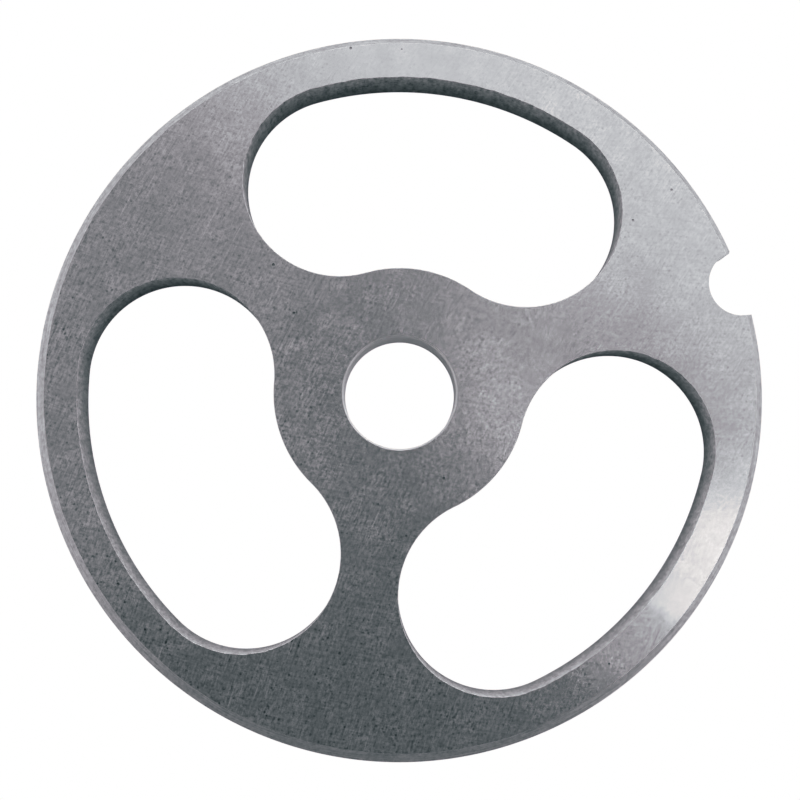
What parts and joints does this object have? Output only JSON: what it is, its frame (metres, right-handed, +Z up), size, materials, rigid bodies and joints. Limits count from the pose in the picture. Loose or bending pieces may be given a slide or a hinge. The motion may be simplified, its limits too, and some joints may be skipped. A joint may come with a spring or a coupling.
{
  "type": "sausage stuffing plate",
  "caption": "Flat round steel plate with kidney-shaped openings round a bored hub, a chamfered rim and a half-round locating notch.",
  "frame": {"origin": "centre of the bore at the lower face", "axes": "+Z up along the bore axis; +X along the middle of the spoke that carries the rim notch"},
  "size_m": [0.07, 0.07, 0.005],
  "materials": {
    "steel": "ground, with fine crossing scratches and small nicks at the edges"
  },
  "bodies": {
    "root": {"stuffing_plate": "steel"}
  },
  "joints": []
}
